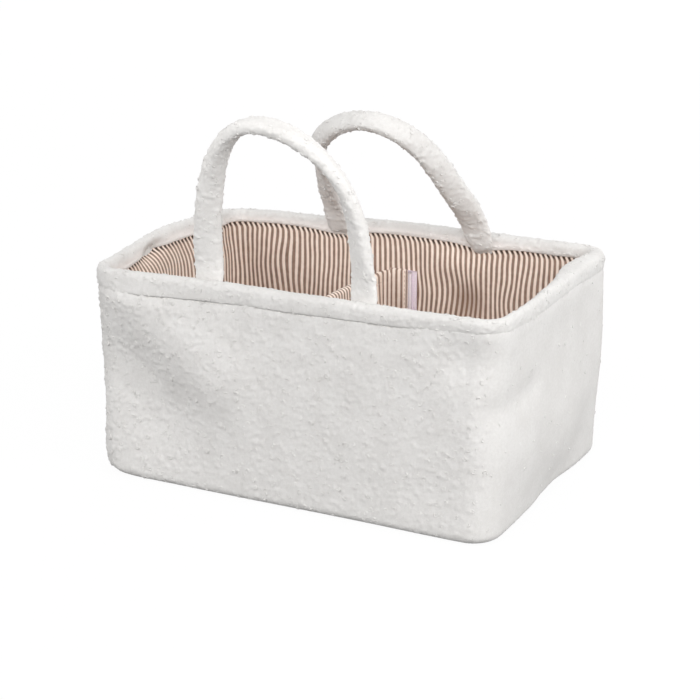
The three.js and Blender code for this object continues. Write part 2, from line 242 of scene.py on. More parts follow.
def makeCamera(cam):
    turn, lift = math.radians(cam["azimuth"]), math.radians(cam["elevation"])
    back = Vector((math.sin(turn) * math.cos(lift), -math.cos(turn) * math.cos(lift), math.sin(lift)))
    right = Vector((0, 0, 1)).cross(back).normalized()
    up = back.cross(right)
    target = Vector(cam["aim"]) + right * cam["slideRight"] + up * cam["slideUp"]
    data = bpy.data.cameras.new("photoCamera")
    data.sensor_width = cam["sensor"]
    data.lens = cam["focalPixels"] * cam["sensor"] / cam["imageWidth"]
    data.clip_end = cam["farthest"]
    camera = linked("photoCamera", data)
    facing = Matrix((right, up, back)).transposed().to_4x4()
    camera.matrix_world = Matrix.Translation((target + back * cam["distance"]) * mm) @ facing
    scene.camera = camera


white = (1, 1, 1, 1)
studio = dict(
    horizon=0.66,  # strength of the world low down and overhead
    zenith=0.58,
    lamps=[  # name, place, aim, size and power
        ("leftSoftbox", (-2.75, -3.94, 2.8), (0, 0, 0.1), 3.9, 86),
        ("keySoftbox", (1.98, -4.37, 3.07), (0, 0, 0.1), 3.9, 138),
        ("rightSoftbox", (1.6, -0.2, 0.68), (0.1, 0, 0.1), 1.2, 14.5),
        ("backSoftbox", (-0.8, 3.8, 1.1), (0, 0, 0.1), 2.6, 70),
    ],
    floorRadius=9.0, floorSides=96, floorLevel=-0.0004,
    floorColour=(0.95, 0.95, 0.95, 1),  # as the camera sees it
    floorBounce=(0.26, 0.26, 0.26, 1),  # as it lights the object
    floorWhite=0.95,  # share of plain white in what the camera sees
)


def seenDirectly(tree):
    rays = tree.nodes.new("ShaderNodeLightPath").outputs
    first = maths(tree, "MAXIMUM", rays["Is Camera Ray"], rays["Is Glossy Ray"])
    return maths(tree, "MAXIMUM", first, rays["Is Transmission Ray"])


def makeStudio(settings):
    scene.world = bpy.data.worlds.new("studioWorld")
    tree = clearTree(scene.world)
    way = addNode(tree, "ShaderNodeTexCoord").outputs["Generated"]
    rise = addNode(tree, "ShaderNodeSeparateXYZ", {0: way}).outputs[2]
    level = ranged(tree, rise, 0, 1, settings["horizon"], settings["zenith"], "LINEAR")
    lit, seen = (flow(tree, "ShaderNodeBackground", {"Color": white, "Strength": each}) for each in (level, 1.0))
    mixed = flow(tree, "ShaderNodeMixShader", {0: seenDirectly(tree), 1: lit, 2: seen})
    addNode(tree, "ShaderNodeOutputWorld", {0: mixed})
    for name, place, aim, size, power in settings["lamps"]:
        data = bpy.data.lights.new(name, "AREA")
        data.shape, data.size, data.energy = "DISK", size, power
        light = linked(name, data)
        light.location = place
        light.rotation_euler = (Vector(aim) - light.location).to_track_quat("-Z", "Y").to_euler()
    sides = settings["floorSides"]
    around = np.linspace(0, 2 * math.pi, sides, endpoint=False)
    ring = [(x, y, settings["floorLevel"]) for x, y in arc(0, 0, settings["floorRadius"], around)]
    mesh = bpy.data.meshes.new("studioFloor")
    mesh.from_pydata(ring, [], [list(range(sides))])
    paper = bpy.data.materials.new("studioPaper")
    tree = clearTree(paper)
    tint = mixColour(tree, seenDirectly(tree), settings["floorBounce"], settings["floorColour"])
    matt = flow(tree, "ShaderNodeBsdfDiffuse", {"Color": tint})
    plain = flow(tree, "ShaderNodeEmission", {"Color": white, "Strength": 1.0})
    share = maths(tree, "MULTIPLY", seenDirectly(tree), settings["floorWhite"])
    addNode(tree, "ShaderNodeOutputMaterial", {0: flow(tree, "ShaderNodeMixShader", {0: share, 1: matt, 2: plain})})
    linked("studioFloor", mesh, paper)


# materials


def newCloth(name):
    material = bpy.data.materials.new(name)
    tree = clearTree(material)
    return material, tree, addNode(tree, "ShaderNodeTexCoord").outputs["Object"]


def coated(material, colour, height, finish):
    tree, (strength, depth) = material.node_tree, finish["bump"]
    bump = flow(tree, "ShaderNodeBump", {"Height": height, "Strength": strength, "Distance": depth})
    shader = flow(tree, "ShaderNodeBsdfPrincipled", {"Base Color": colour, "Normal": bump, **finish["surface"]})
    addNode(tree, "ShaderNodeOutputMaterial", {0: shader})
    return material


pileFinish = dict(
    ivory=(0.700, 0.688, 0.673), shade=(0.646, 0.632, 0.616),
    inner=(0.845, 0.81, 0.79, 1),  # painted light: the rim's inner face is coloured lighter than the walls
    toneRange=(0.72, 1.28),
    patchScale=40.0,  # slow change of tone, per metre
    nubScale=420.0, fibreScale=1500.0,
    bump=(0.6, 0.0003),  # strength, and depth in metres
    surface={"Roughness": 0.95, "Specular IOR Level": 0.2, "Sheen Weight": 0.15, "Sheen Roughness": 0.55},
)


# The last argument makes a lighter copy of the pile; above 1 it is painted light.
def makePile(name, finish, paintedLight=1.0):
    material, tree, spot = newCloth(name)
    shade, ivory = ([*(value * paintedLight for value in finish[key]), 1] for key in ("shade", "ivory"))
    patches = noiseOf(tree, spot, finish["patchScale"], 3.0)
    nubs = noiseOf(tree, spot, finish["nubScale"], 2.0, 0.6)
    tone = ranged(tree, maths(tree, "ADD", patches, nubs), *finish["toneRange"])
    # The 'inside' mark paints light on the rim's inner face by mixing in a lighter colour.
    colour = mixColour(tree, markOf(tree, "inside"), mixColour(tree, tone, shade, ivory), finish["inner"])
    return coated(material, colour, noiseOf(tree, spot, finish["fibreScale"], 3.0, 0.65), finish)


tickingFinish = dict(
    cream=(0.99, 0.865, 0.775, 1), creamShade=(0.95, 0.80, 0.705, 1),
    # The last brown is painted shade: the brown stripes darkened just under the rim, where the lining tucks in.
    brown=(0.265, 0.177, 0.134, 1), brownLight=(0.35, 0.24, 0.184, 1), tuckShadeBrown=(0.085, 0.056, 0.043, 1),
    stripeWidth=0.51,  # share of the pitch that is brown
    edgeBlur=0.085,
    raggedScale=900.0,  # how the stripes' edges stray
    ragged=0.07,
    patchScale=160.0,
    fold=(0.19, 0.09, 0.05, 1),  # painted shade: a dark spot low on the back wall where the lining folds
    foldShadePlace=(0.057, 0.1125, 0.117), foldShadeReach=(0.002, 0.027), foldShadeShare=0.5,
    threadsPerStripe=9.0,
    slub=0.8,  # uneven threads in the weave's height
    bump=(0.5, 0.00012),
    surface={"Roughness": 0.85, "Specular IOR Level": 0.25, "Sheen Weight": 0.08},
)


# The cloth map counts stripes: one stripe of brown and one of cream to each whole number across.
def makeTicking(name, finish):
    material, tree, spot = newCloth(name)
    cloth = flow(tree, "ShaderNodeUVMap", uv_map="cloth")
    across, down, _ = addNode(tree, "ShaderNodeSeparateXYZ", {0: cloth}).outputs
    ragged = noiseOf(tree, spot, finish["raggedScale"])
    turned = maths(tree, "PINGPONG", maths(tree, "MULTIPLY_ADD", ragged, finish["ragged"], across), 0.5)
    edge, blur = finish["stripeWidth"] / 2, finish["edgeBlur"]
    isCream = ranged(tree, turned, edge - blur, edge + blur)
    slow = ranged(tree, noiseOf(tree, spot, finish["patchScale"], 3.0), 0.3, 0.7)
    cream = mixColour(tree, slow, finish["creamShade"], finish["cream"])
    brown = mixColour(tree, slow, finish["brown"], finish["brownLight"])
    # Painted shade: the 'tuck' mark darkens the brown stripes just under the rim.
    paintedTuckShade = maths(tree, "MULTIPLY", markOf(tree, "tuck"), maths(tree, "SUBTRACT", 1.0, isCream))
    colour = mixColour(tree, paintedTuckShade, mixColour(tree, isCream, brown, cream), finish["tuckShadeBrown"])
    # Painted shade: near one spot low on the back wall the colour darkens towards the fold colour, as in a fold's
    # shadow.
    away = addNode(tree, "ShaderNodeVectorMath", {0: spot, 1: finish["foldShadePlace"]}, operation="DISTANCE")
    paintedFoldShade = ranged(tree, away.outputs["Value"], *finish["foldShadeReach"], finish["foldShadeShare"], 0.0)
    perStripe = finish["threadsPerStripe"] * 2 * math.pi
    over, under = (maths(tree, "SINE", maths(tree, "MULTIPLY", way, perStripe)) for way in (across, down))
    height = maths(tree, "MULTIPLY_ADD", ragged, finish["slub"], maths(tree, "MULTIPLY", over, under))
    return coated(material, mixColour(tree, paintedFoldShade, colour, finish["fold"]), height, finish)


threadFinish = dict(
    toneRange=(0.35, 0.65), bump=(0.5, 0.0002), surface={"Roughness": 0.8, "Specular IOR Level": 0.3}
)


def makeThread(name, colour, shade, scale=1400.0, finish=threadFinish):
    material, tree, spot = newCloth(name)
    strands = noiseOf(tree, spot, scale)
    tone = ranged(tree, strands, *finish["toneRange"])
    return coated(material, mixColour(tree, tone, (*shade, 1), (*colour, 1)), strands, finish)


ivoryPile = makePile("ivoryPile", pileFinish)
# Painted light: the handles get lighter copies of the pile, the front one lighter than the back.
handlePilesPaintedLight = {end: makePile(end + "HandlePile", pileFinish, by) for end, by in (("front", 1.13), ("back", 1.03))}
stripedTicking = makeTicking("stripedTicking", tickingFinish)
dividerTicking = makeTicking("dividerTicking", dict(tickingFinish, stripeWidth=0.44))
ivoryThread = makeThread("ivoryThread", (0.86, 0.84, 0.81), (0.76, 0.74, 0.71))
creamThread = makeThread("creamThread", (0.76, 0.62, 0.54), (0.60, 0.47, 0.40))
lilacLoop = makeThread("lilacLoop", (0.93, 0.82, 0.91), (0.86, 0.75, 0.85), 900.0)
paleHook = makeThread("paleHook", (0.93, 0.855, 0.90), (0.85, 0.775, 0.83), 1100.0)
pressedBoard = makeThread("pressedBoard", (0.20, 0.155, 0.12), (0.13, 0.10, 0.075), 260.0)
print("materials: %d finishes" % len(bpy.data.materials))


# repeating detail, by geometry nodes


def newTree(name, **inputs):
    tree = bpy.data.node_groups.new(name, "GeometryNodeTree")
    tree.interface.new_socket("Geometry", in_out="INPUT", socket_type="NodeSocketGeometry")
    for kind, labels in inputs.items():
        for label in labels:
            tree.interface.new_socket(label, in_out="INPUT", socket_type="NodeSocket" + kind)
    tree.interface.new_socket("Geometry", in_out="OUTPUT", socket_type="NodeSocketGeometry")
    return tree, tree.nodes.new("NodeGroupInput").outputs


def endTree(tree, shape, material):
    whole = flow(tree, "GeometryNodeRealizeInstances", {0: shape})
    painted = flow(tree, "GeometryNodeSetMaterial", {"Geometry": whole, "Material": material})
    addNode(tree, "NodeGroupOutput", {0: painted})
    return tree


# The host's shape after a tree, as a plain object in the host's place.
def dressed(name, host, tree, values, material):
    modifier = host.modifiers.new(tree.name, "NODES")
    modifier.node_group = tree
    for item in tree.interface.items_tree:
        if item.in_out == "INPUT" and item.name in values:
            modifier[item.identifier] = values[item.name]
    bpy.context.view_layer.update()
    mesh = bpy.data.meshes.new_from_object(host.evaluated_get(bpy.context.evaluated_depsgraph_get()))
    host.modifiers.remove(modifier)
    bpy.data.objects.remove(host)
    mesh.name = name
    return linked(name, mesh, material)


def attributeOf(tree, label):
    return flow(tree, "GeometryNodeInputNamedAttribute", {0: label}, data_type="FLOAT")


# Nubs of the napped cloth: the skin is pushed out along its normal by warped cells and finer noise.
def makeNubTree():
    floats = ("Nub Size", "Nub Height", "Patch Size", "Fine", "Seed")
    tree, given = newTree("napNubs", Float=floats, Material=("Cloth",))

    def noise(vector, scale, detail):
        inputs = {"Vector": vector, "W": given["Seed"], "Scale": scale, "Detail": detail}
        return addNode(tree, "ShaderNodeTexNoise", inputs, noise_dimensions="4D").outputs

    place = flow(tree, "GeometryNodeInputPosition")
    near, wide = (scaled(tree, place, maths(tree, "DIVIDE", 1.0, given[size])) for size in ("Nub Size", "Patch Size"))
    inputs = {0: noise(near, 0.7, 1.0)[1], 1: (1.3, 1.3, 1.3), 2: near}
    warped = flow(tree, "ShaderNodeVectorMath", inputs, operation="MULTIPLY_ADD")
    inputs = {"Vector": warped, "W": given["Seed"], "Scale": 1.0, "Smoothness": 0.35}
    cells = addNode(tree, "ShaderNodeTexVoronoi", inputs, voronoi_dimensions="4D", feature="SMOOTH_F1").outputs
    mound = ranged(tree, cells["Distance"], 0.12, 0.8, 1.0, 0.0, "LINEAR")
    kept = ranged(tree, cells["Color"], 0.48, 0.62, 0.12, 1.0, "LINEAR")
    lift = ranged(tree, noise(wide, 1.0, 2.0)[0], 0.3, 0.7, 0.45, 1.25, "LINEAR")
    fine = maths(tree, "SUBTRACT", noise(near, 1.9, 2.0)[0], 0.5)
    height = maths(tree, "MULTIPLY_ADD", fine, given["Fine"], maths(tree, "MULTIPLY", mound, kept))
    height = maths(tree, "SUBTRACT", height, 0.25)
    for factor in (lift, given["Nub Height"], attributeOf(tree, "nap")):
        height = maths(tree, "MULTIPLY", height, factor)
    push = scaled(tree, flow(tree, "GeometryNodeInputNormal"), height)
    moved = flow(tree, "GeometryNodeSetPosition", {"Geometry": given["Geometry"], "Offset": push})
    return endTree(tree, moved, given["Cloth"])


curlInputs = ("Curls per Square Metre", "Curl Radius", "Yarn Radius", "Tilt", "Sink")


def yarnOf(*values):
    return dict(zip(curlInputs, values))


# Loose yarn curls, lying on the cloth and tilted at random.
def makeCurlTree():
    tree, given = newTree("yarnCurls", Float=curlInputs, Int=("Seed",), Material=("Yarn",))
    seed, tilt = given["Seed"], given["Tilt"]
    density = maths(tree, "MULTIPLY", attributeOf(tree, "curls"), given["Curls per Square Metre"])
    inputs = {"Mesh": given["Geometry"], "Density": density, "Seed": seed}
    spread = addNode(tree, "GeometryNodeDistributePointsOnFaces", inputs).outputs
    inputs = {"Resolution": 7, "Radius": given["Curl Radius"], "Start Angle": 0.0, "Sweep Angle": 4.6}
    bow = flow(tree, "GeometryNodeCurveArc", inputs)
    strand = flow(tree, "GeometryNodeCurvePrimitiveCircle", {"Resolution": 4, "Radius": given["Yarn Radius"]})
    curl = flow(tree, "GeometryNodeCurveToMesh", {"Curve": bow, "Profile Curve": strand, "Fill Caps": True})
    down = flow(tree, "ShaderNodeCombineXYZ", {2: maths(tree, "MULTIPLY", given["Sink"], -1.0)})
    curl = flow(tree, "GeometryNodeTransform", {"Geometry": curl, "Translation": down})
    curl = flow(tree, "GeometryNodeSetShadeSmooth", {"Geometry": curl})
    backwards = maths(tree, "MULTIPLY", tilt, -1.0)
    least = flow(tree, "ShaderNodeCombineXYZ", {0: backwards, 1: backwards, 2: 0.0})
    most = flow(tree, "ShaderNodeCombineXYZ", {0: tilt, 1: tilt, 2: 2 * math.pi})
    tilted = flow(tree, "FunctionNodeRandomValue", {0: least, 1: most, "Seed": seed}, data_type="FLOAT_VECTOR")
    tilted = flow(tree, "FunctionNodeEulerToRotation", {0: tilted})
    turn = flow(tree, "FunctionNodeRotateRotation", {0: spread["Rotation"], 1: tilted}, rotation_space="LOCAL")
    size = addNode(tree, "FunctionNodeRandomValue", {2: 0.6, 3: 1.25, "Seed": seed}, data_type="FLOAT").outputs[1]
    inputs = {"Points": spread[0], "Instance": curl, "Rotation": turn, "Scale": size}
    return endTree(tree, flow(tree, "GeometryNodeInstanceOnPoints", inputs), given["Yarn"])


# A row of stitches along a curve, each a short strand with tucked ends.
def makeStitchTree():
    tree, given = newTree("stitchRow", Float=("Stitch Length", "Gap", "Thread Radius"), Material=("Thread",))
    length, radius = given["Stitch Length"], given["Thread Radius"]
    inputs = {"Curve": given["Geometry"], "Length": maths(tree, "ADD", length, given["Gap"])}
    points = flow(tree, "GeometryNodeResampleCurve", inputs, mode="LENGTH")
    tangent = flow(tree, "GeometryNodeInputTangent")
    aimed = flow(tree, "FunctionNodeAlignRotationToVector", {"Vector": tangent}, axis="X")
    bead = flow(tree, "GeometryNodeMeshUVSphere", {"Segments": 6, "Rings": 5, "Radius": radius})
    bead = flow(tree, "GeometryNodeSetShadeSmooth", {"Geometry": bead})
    stretch = maths(tree, "DIVIDE", maths(tree, "MULTIPLY", length, 0.5), radius)
    shape = flow(tree, "ShaderNodeCombineXYZ", {0: stretch, 1: 1.0, 2: 1.0})
    inputs = {"Points": points, "Instance": bead, "Rotation": aimed, "Scale": shape}
    return endTree(tree, flow(tree, "GeometryNodeInstanceOnPoints", inputs), given["Thread"])


nubTree, curlTree, stitchTree = makeNubTree(), makeCurlTree(), makeStitchTree()

napNubs = {"Nub Size": 0.0032, "Patch Size": 0.016}
nubHeight = 0.0008
napYarn = yarnOf(14000.0, 0.00135, 0.00046, 0.24, 0.00012)


def nubbed(mesh, seed, height, fine, pile):
    values = {**napNubs, "Nub Height": nubHeight * height, "Fine": fine, "Seed": float(seed), "Cloth": pile}
    return dressed(mesh.name, linked(mesh.name + "Base", mesh, pile), nubTree, values, pile)


# Curls grow where the cloth has nap, times a weight worked out from each point's x and y.
def curled(name, cloth, seed, weight=None, yarn=napYarn):
    mesh, material = cloth.data.copy(), cloth.data.materials[0]
    amount = np.zeros(len(mesh.vertices), np.float32)
    mesh.attributes["nap"].data.foreach_get("value", amount)
    if weight is not None:
        spots = np.zeros(len(mesh.vertices) * 3, np.float32)
        mesh.vertices.foreach_get("co", spots)
        amount = amount * weight(*(spots.reshape(-1, 3) / mm).T[:2])
    mesh.attributes.new("curls", "FLOAT", "POINT").data.foreach_set("value", amount.astype(np.float32))
    made = dressed(name, linked(name + "Base", mesh), curlTree, {**yarn, "Seed": seed, "Yarn": material}, material)
    bpy.data.meshes.remove(mesh)
    return made


seamLines = dict(outerUp=2.4, innerUp=3, proud=0.1, floorInset=13.0, floorUp=0.15, step=2.0, floorStep=3.0)
sewing = dict(  # stitch length, gap and thread radius
    rimOuter=(3.2, 1.2, 0.36),
    rimInner=(3.0, 1.2, 0.34),
    floor=(3.0, 1.4, 0.32),
    divider=(2.8, 1.3, 0.32),
    flap=(2.8, 1.3, 0.3),
    tape=(2.2, 1.1, 0.26),
)


def stitched(name, lines, thread, size, closed=False):
    data = bpy.data.curves.new(name + "Path", "CURVE")
    data.dimensions = "3D"
    for line in lines:
        spline = data.splines.new("POLY")
        spline.points.add(len(line) - 1)
        spots = np.concatenate([np.asarray(line) * mm, np.ones((len(line), 1))], 1)
        spline.points.foreach_set("co", spots.astype(np.float32).ravel())
        spline.use_cyclic_u = closed
    values = {label: value * mm for label, value in zip(("Stitch Length", "Gap", "Thread Radius"), sewing[size])}
    return dressed(name, linked(name + "Path", data), stitchTree, {**values, "Thread": thread}, thread)


# A finished piece that stands for some of the frame's nodes.
def placed(mesh, material, *nodes):
    piece = linked(mesh.name, mesh, material)
    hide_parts(*nodes)
    return piece


def rideAll(body, slot, *pieces):
    for piece in pieces:
        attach(piece, body)


# the box's walls

box = dict(
    halfLength=186.7,
    halfDepth=(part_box("outer_wrap")[1] / mm).y,
    corner=24.0,
    taper=6.0,  # each end wall leans in this far at the floor
    height=184.0,
    outerSeam=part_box("rim_band")[0].z / mm,
    innerSeam=169.0,
    liningFace=9.1,  # inset of the lining's face from the outer cloth's
    rimFace=11.1,
)


# Places round the plan, evenly spaced, from the left end of the front wall: front, right, back, left.
def wallStations(step, inset):
    alongX, alongY = (2 * (box[half] - box["corner"]) for half in ("halfLength", "halfDepth"))
    turn = math.pi / 2 * (box["corner"] - inset)
    lengths = np.array([alongX, turn, alongY, turn] * 2)
    starts = np.concatenate([[0], np.cumsum(lengths)])
    total, count = starts[-1], int(round(starts[-1] / step))
    run = np.arange(count) * total / count
    which = np.searchsorted(starts, run, side="right") - 1
    share = (run - starts[which]) / lengths[which]
    corners = np.array([(-1, -1), (1, -1), (1, 1), (-1, 1)], float)
    side, straight = which // 2, which % 2 == 0
    here, there = corners[side], corners[(side + 1) % 4]
    centre = np.where(straight[:, None], here + (there - here) * share[:, None], there)
    angle = (side - 1) * math.pi / 2 + np.where(straight, 0, share * math.pi / 2)
    out = np.stack([np.cos(angle), np.sin(angle), np.zeros(count)], 1)[:, None, :]
    return dict(along=np.append(run, total), total=total, centre=centre, out=out)


# A section (inset and height) carried round the stations.
def wallRings(stations, section):
    inset, z = np.asarray(section, float).T
    halfLength = box["halfLength"] - box["taper"] * (1 - z / box["height"])
    reach, out = box["corner"] - inset, stations["out"]
    x = stations["centre"][:, :1] * (halfLength - box["corner"]) + out[..., 0] * reach
    y = stations["centre"][:, 1:] * (box["halfDepth"] - box["corner"]) + out[..., 1] * reach
    return np.stack([x, y, np.broadcast_to(z, x.shape)], -1)


# How the soft walls give: broad swells, and creases along a line.
softness = dict(
    swells=[  # place, reach and push
        ((-190, -120, 184), (75, 60, 60), (0, 0, -2.4)),
        ((-190, -15, 184), (30, 45, 60), (0, 0, 4.0)),
        ((-105, 122, 184), (60, 40, 60), (0, 0, -5.0)),
        ((-176, 118, 184), (36, 55, 60), (0, 0, -6.4)),
        ((187, 110, 95), (60, 60, 40), (2.5, 0, 0)),
        ((182, -95, 8), (40, 32, 26), (1.4, -1.0, 0)),
        ((182, 88, 8), (40, 26, 26), (0.6, 0, 0)),
        ((184, 24, 6), (40, 30, 22), (-4.6, 0, 0)),
        ((182, -12, 8), (40, 18, 22), (-1.6, 0, 0)),
        ((160, -122, 150), (26, 30, 18), (0, 4.4, 0)),
        ((140, -122, 5), (60, 30, 24), (0, -1.8, 0)),
        ((184, -120, 130), (34, 34, 60), (-2.6, 2.6, 0)),
        ((-184, -116, 20), (40, 40, 26), (-2.6, 0, 0)),
        ((-184, -118, 118), (40, 40, 46), (-5.2, 0, 0)),
        ((-178, -122, 0), (22, 22, 12), (2.4, 1.0, 2.6)),
    ],
    creases=[  # start, end, width and push
        ((-148, -122, 162), (-68, -122, 102), 36, (0, -7.4, 0)),
        ((-198, -122, 144), (-124, -122, 66), 40, (0, 9.8, 0)),
        ((181, -128, 108), (185, -50, 112), 13, (-2.8, 0, 0)),
        ((183, -52, 64), (183, 25, 58), 46, (6.0, 0, 0)),
    ],
    rimHold=0.7,  # the rim gives this much less
    rimHoldAt=(158, 178),
    tilt=2.6,  # the front crease runs up this far from the middle to the right, and down to the left
    tiltAt=(168, 10),
)


def soften(points):
    x, y, z = axes(points)
    moved = points.copy()
    for place, reach, push in softness["swells"]:
        moved += bell(points, place, reach)[..., None] * push
    held = 1 - softness["rimHold"] * ramp(z, *softness["rimHoldAt"])
    for start, end, width, push in softness["creases"]:
        way = np.subtract(end, start)
        share = np.clip(((points - start) @ way) / (way @ way), 0, 1)
        gap = np.linalg.norm(points - (start + share[..., None] * way), axis=-1)
        moved += (held * hump(gap, 0, width))[..., None] * push
    front = ramp(-y, 60, 110) * hump(z, *softness["tiltAt"])
    moved[..., 2] += softness["tilt"] * front * np.clip(x / 150, -1, 1)
    return moved


outerCloth = dict(
    step=1.62,
    creaseUp=2.8,  # the rim's crease lies this far above its seam
    crease=0.35,  # depth where it is plainest
    creaseWidth=2.1,
    creaseMiddle=-14,  # where it is plainest, and how far from there it fades
    creaseEnds=(105, 200),
    creaseBreaks=(0.84, 0.5, 0.5, 17),  # its share on the long walls, the change, the least share and the size
    endCreases=(0.3, 0.6),  # its share on the right and left walls
    level=(-0.3, 0.5, 1.4),  # inset of the wall's top where the crease fades, and what is added at and above the seam
    section=[(2.6, 9), (1.6, 3), (0.9, 0.6), (0.7, -0.6), (0.55, -4), (0.2, -16)],  # inset, and height from the crease
    roll=7.5, turnUnder=17, cloth=2.5,
    flare=3.6,  # the long walls' belly at the floor
    slack=0.7, slackSize=70.0,
    smoother=0.75,  # the right wall's pile lies this much smoother
    rougher=0.5,  # and the front left's is this much rougher
    nubs=(11, 1.6, 0.8),  # seed, height and fineness
    curlWalls=105,  # where the front and back walls' curls begin
    rightCurls=0.35,
)


# The crease under the rim is plain on the long walls, here and there broken, and fades towards their ends.
def creaseShare(points, out):
    ends = 1 - ramp(np.abs(points[..., 0] - outerCloth["creaseMiddle"]), *outerCloth["creaseEnds"])
    usual, change, least, size = outerCloth["creaseBreaks"]
    broken = np.clip(usual + change * softNoise(points, size, 2), least, 1)
    right, left = outerCloth["endCreases"]
    longWalls = ramp(np.abs(out[..., 1]), 0.6, 0.98) * ends * broken
    rightWall = ramp(out[..., 0], 0.5, 0.95) * right * ramp(points[..., 1], 20, 90)
    return longWalls + rightWall + ramp(-out[..., 0], 0.5, 0.95) * left


def creaseFade(points, out):
    return np.clip(1 - creaseShare(points, out), 0, 1)


# The walls' skin over a section, drawn in at the crease under the rim.
def wallSkin(section, step, at=0):
    stations = wallStations(step, at)
    rings, out = wallRings(stations, section), stations["out"]
    depth = hump(rings[..., 2], box["outerSeam"] + outerCloth["creaseUp"], outerCloth["creaseWidth"])
    depth = outerCloth["crease"] * depth * (1 - ramp(np.asarray(section)[:, 0], 3, 6)) * creaseShare(rings, out)
    return stations, out, rings - out * depth[..., None]


def makeOuterCloth(cloth):
    roll, thick, under = cloth["roll"], cloth["cloth"], cloth["turnUnder"]
    seam = box["outerSeam"] + cloth["creaseUp"]
    turn = np.linspace(math.pi, 1.5 * math.pi, 14)
    outside = [(inset, seam + up) for inset, up in cloth["section"]] + [(-0.3, 60), (0, 30)]
    outside = spaced(rounded(outside + arc(roll, roll, roll, turn) + [(under, 0.3)], 2), cloth["step"])
    inside = [(under, thick), (roll, thick)] + arc(roll, roll, roll - thick, turn[::-3])
    inside += [(thick, 60), (thick, 120), (thick + 1.0, seam), (thick + 1.8, seam + 9)]
    section = np.vstack([outside, inside])
    inset, z = section.T
    shown = np.arange(len(section)) < len(outside)
    stations, out, rings = wallSkin(section, cloth["step"])
    below, at, above = cloth["level"]
    level = below + at * ramp(z, seam - 3, seam + 3) + above * ramp(z, seam + 2, seam + 8)
    level = np.where(shown & (z > 60), inset - level, 0)  # runs on into the rim
    rings += out * (creaseFade(rings, out) * level)[..., None]
    rings[..., 1] *= 1 + cloth["flare"] / box["halfDepth"] * (1 - rings[..., 2] / box["height"])
    rings = soften(rings)
    hang = ramp(rings[..., 2], 2, 30) * (1 - ramp(rings[..., 2], seam - 25, seam - 4))
    slack = softNoise(rings, cloth["slackSize"], 3) + 0.5 * softNoise(rings, cloth["slackSize"] * 0.45, 4)
    rings += out * (slack * cloth["slack"] * hang)[..., None]
    brushed = 1 - cloth["smoother"] * ramp(out[..., 0], 0.3, 0.95)
    brushed = brushed + cloth["rougher"] * ramp(-out[..., 1], 0.3, 0.9) * ramp(-rings[:, :1, 0], 50, 150)
    nap = shown * ramp(seam + 9 - z, 0, 4) * ramp(z, 0.2, 3.5) * brushed
    mesh = ringMesh("outer_cloth", rings, stations["along"] / stripe, mapRound(section), marks={"nap": nap})
    piece = nubbed(mesh, *cloth["nubs"], ivoryPile)
    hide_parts("outer_wrap", "front_wall_foam", "back_wall_foam", "left_wall_foam", "right_wall_foam")
    edge = cloth["curlWalls"]
    walls = dict(
        front=lambda x, y: y < -edge,
        right=lambda x, y: (x > 0) * (np.abs(y) <= edge) * cloth["rightCurls"],
        back=lambda x, y: y > edge,
        left=lambda x, y: (x < 0) * (np.abs(y) <= edge),
    )
    return piece, [curled(side + "_wall_curls", piece, 20 + k, where) for k, (side, where) in enumerate(walls.items())]


rimRoll = dict(
    step=1.3,
    proud=0.4,  # how far the padded band stands past the wall
    sink=1.4,  # how far its lower edge lies back where the crease fades, and how much less its face does
    sinkLess=1.1,
    puff=0.65,  # how far it swells above the crease
    gateMiddle=-6,  # where it is kept clear for the divider to lift past
    gate=19.0, gateDepth=1.0,
    rootDip=3.8,  # how far the inner seam is drawn down where a handle is sewn in
    rootReach=21.0,
    seamRise=(3.6, 1.0),  # how far it stands above its pattern on the back and left walls
    leans=[(-9.5, 62, 40), (2.5, -70, 35)],  # how far the right wall's inner edge leans in, where and over what reach
    dent=7.5,  # the left wall's inner edge is dented at this place along it and height
    dentPlace=(-34, 171), dentReach=(15, 7),
    slack=0.35, slackSizes=(38, 55),  # outwards and upwards
    nubs=(31, 1.35, 1.2), curlSeed=41,
    threadSink=(0.6, 3.0),  # of the outer stitches, and how much more where the crease fades
)


def rootNearness(points):
    x, y, _ = axes(points)
    near = np.zeros(x.shape)
    for handle, end in itertools.product(handles.values(), (-1, 1)):
        root = handle["middle"] + end * strap["spacing"] / 2
        near = np.maximum(near, hump(x, root, rimRoll["rootReach"]) * (y * handle["side"] > 90))
    return near


def seamShift(points):
    back = ramp(points[..., 1], 70, 105)
    left = ramp(-points[..., 0], 150, 172) * (1 - back)
    return back * rimRoll["seamRise"][0] + left * rimRoll["seamRise"][1] - rootNearness(points) * rimRoll["rootDip"]


# The right wall's soft inner edge leans in towards the back, and the left one has a dent.
def innerLean(points):
    x, y, z = axes(points)
    (dentY, dentZ), (longWays, upWays) = rimRoll["dentPlace"], rimRoll["dentReach"]
    lean = sum(amount * hump(y, place, reach) for amount, place, reach in rimRoll["leans"])
    dent = rimRoll["dent"] * hump(y, dentY, longWays) * hump(z, dentZ, upWays)
    amount = lean * ramp(x, 100, 150) * ramp(z, 100, 172) - dent * ramp(-x, 140, 165)
    return amount[..., None] * (1, 0, 0)


